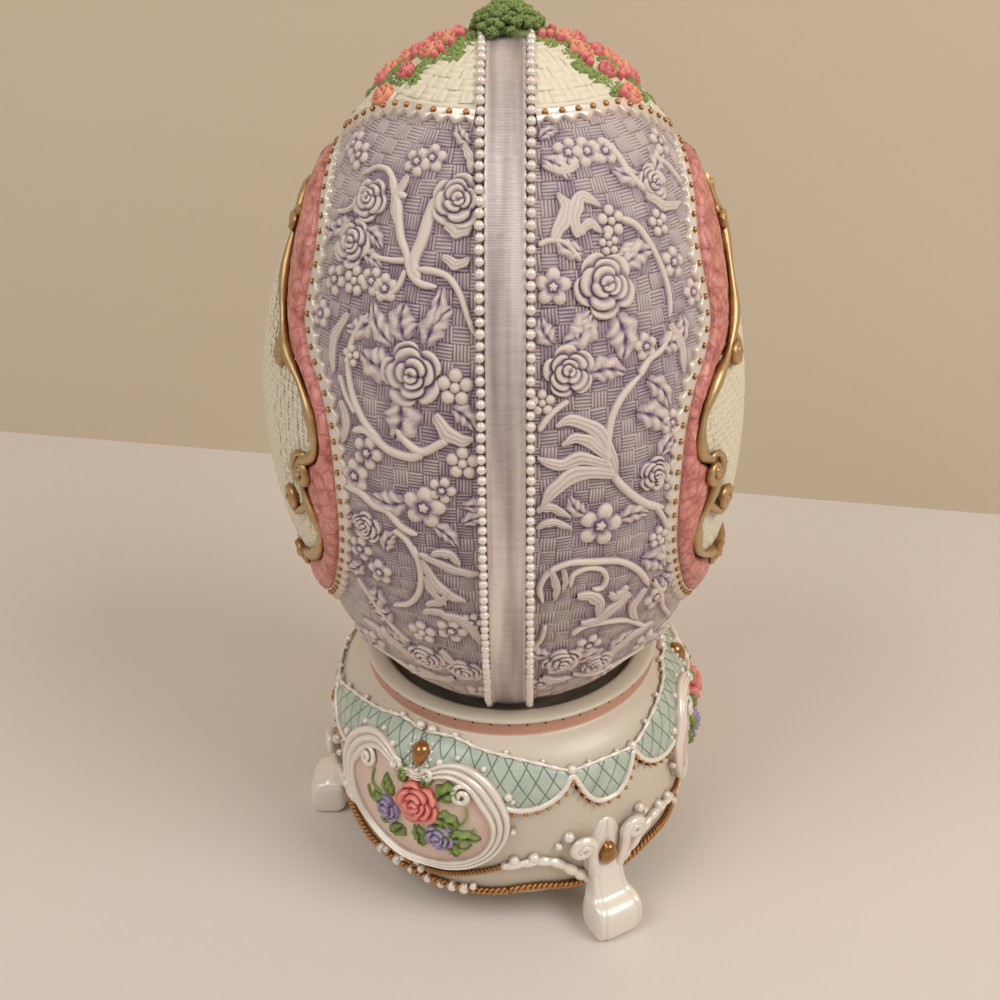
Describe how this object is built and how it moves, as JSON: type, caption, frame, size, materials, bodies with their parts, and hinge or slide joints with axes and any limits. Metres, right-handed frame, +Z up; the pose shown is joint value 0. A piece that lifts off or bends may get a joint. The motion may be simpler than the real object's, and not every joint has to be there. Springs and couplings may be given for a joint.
{
  "type": "music box",
  "caption": "Egg-shaped music box with lavender relief panels, a satin ribbon and pearl rows, turning on a round three-footed pedestal with floral medallions.",
  "frame": {"origin": "on the surface it stands on, under the middle of the base", "axes": "+Z up; the pictured front of the egg, with the ribbon, faces -Y; +X is to the viewer's right"},
  "size_m": [0.0916, 0.0904, 0.1754],
  "materials": {
    "lavender_resin": "matte, washed",
    "cream_resin": "satin varnish",
    "woven_cream_resin": "matte, woven relief",
    "pearl_paint": "pearl",
    "pink_resin": "mottled matte",
    "gold_paint": "metallic paint",
    "aqua_resin": "satin varnish",
    "rose_resin": "satin varnish",
    "leaf_green_resin": "matte",
    "satin_ribbon": "satin weave",
    "steel": "machined",
    "brass": "machined",
    "cast_zinc": "as cast",
    "cover_plastic": "fine grain"
  },
  "bodies": {
    "base": {"base_body": "cream_resin", "spindle_bushing": "brass", "swags_right_front": "aqua_resin", "swags_right_back": "aqua_resin", "swags_left": "aqua_resin", "medallion_front": "pearl_paint", "medallion_right": "pearl_paint", "medallion_back": "pearl_paint", "bouquet_front": "rose_resin", "bouquet_right": "rose_resin", "bouquet_back": "rose_resin", "rope_trim": "gold_paint", "foot_right_front": "pearl_paint", "foot_right_back": "pearl_paint", "foot_left": "pearl_paint", "bottom_cover": "cover_plastic", "cover_screw_1": "steel", "cover_screw_2": "steel", "cover_screw_3": "steel", "movement_screw_1": "steel", "movement_screw_2": "steel", "movement_screw_3": "steel", "bedplate": "cast_zinc", "steel_comb": "steel", "comb_screw_1": "steel", "comb_screw_2": "steel", "governor_frame": "cast_zinc"},
    "egg": {"egg_right_half": "lavender_resin", "egg_left_half": "lavender_resin", "ribbon": "satin_ribbon", "pearl_row_left": "pearl_paint", "pearl_row_right": "pearl_paint", "frame_left": "pink_resin", "frame_right": "pink_resin", "scrollwork_left": "gold_paint", "scrollwork_right": "gold_paint", "woven_panel_left": "woven_cream_resin", "woven_panel_right": "woven_cream_resin", "lace_left": "pearl_paint", "lace_right": "pearl_paint", "cap_panel_left": "woven_cream_resin", "cap_panel_right": "woven_cream_resin", "rose_spray_left": "rose_resin", "rose_spray_right": "rose_resin", "apex_foliage": "leaf_green_resin", "egg_hub": "brass", "spindle": "steel", "spring_barrel": "steel", "barrel_wheel": "brass", "mainspring": "steel"},
    "cylinder": {"pinned_cylinder": "brass", "cylinder_arbor": "steel", "cylinder_end_gear": "brass"},
    "governor": {"governor_shaft": "steel", "worm_wheel": "brass"},
    "fly": {"worm": "steel", "air_fly": "brass"},
    "key": {"winding_arbor": "steel", "winding_key": "brass"}
  },
  "joints": [
    {"name": "egg_turn", "type": "hinge", "parent": "base", "child": "egg", "pos_m": [0, 0, 0.038], "axis": [0, 0, 1], "continuous": true},
    {"name": "cylinder_turn", "type": "hinge", "parent": "base", "child": "cylinder", "pos_m": [0.022, 0, 0.02047], "axis": [1, 0, 0], "continuous": true},
    {"name": "governor_turn", "type": "hinge", "parent": "base", "child": "governor", "pos_m": [0.022, 0.0069, 0.02047], "axis": [1, 0, 0], "continuous": true},
    {"name": "fly_turn", "type": "hinge", "parent": "base", "child": "fly", "pos_m": [0.022, 0.01045, 0.02047], "axis": [0, 0, 1], "continuous": true},
    {"name": "key_turn", "type": "hinge", "parent": "base", "child": "key", "pos_m": [0, 0, 0.005], "axis": [0, 0, 1], "continuous": true}
  ],
  "couplings": [
    {"joint": "cylinder_turn", "follows": "egg_turn", "ratio": 3},
    {"joint": "governor_turn", "follows": "egg_turn", "ratio": -6},
    {"joint": "fly_turn", "follows": "egg_turn", "ratio": 72}
  ]
}
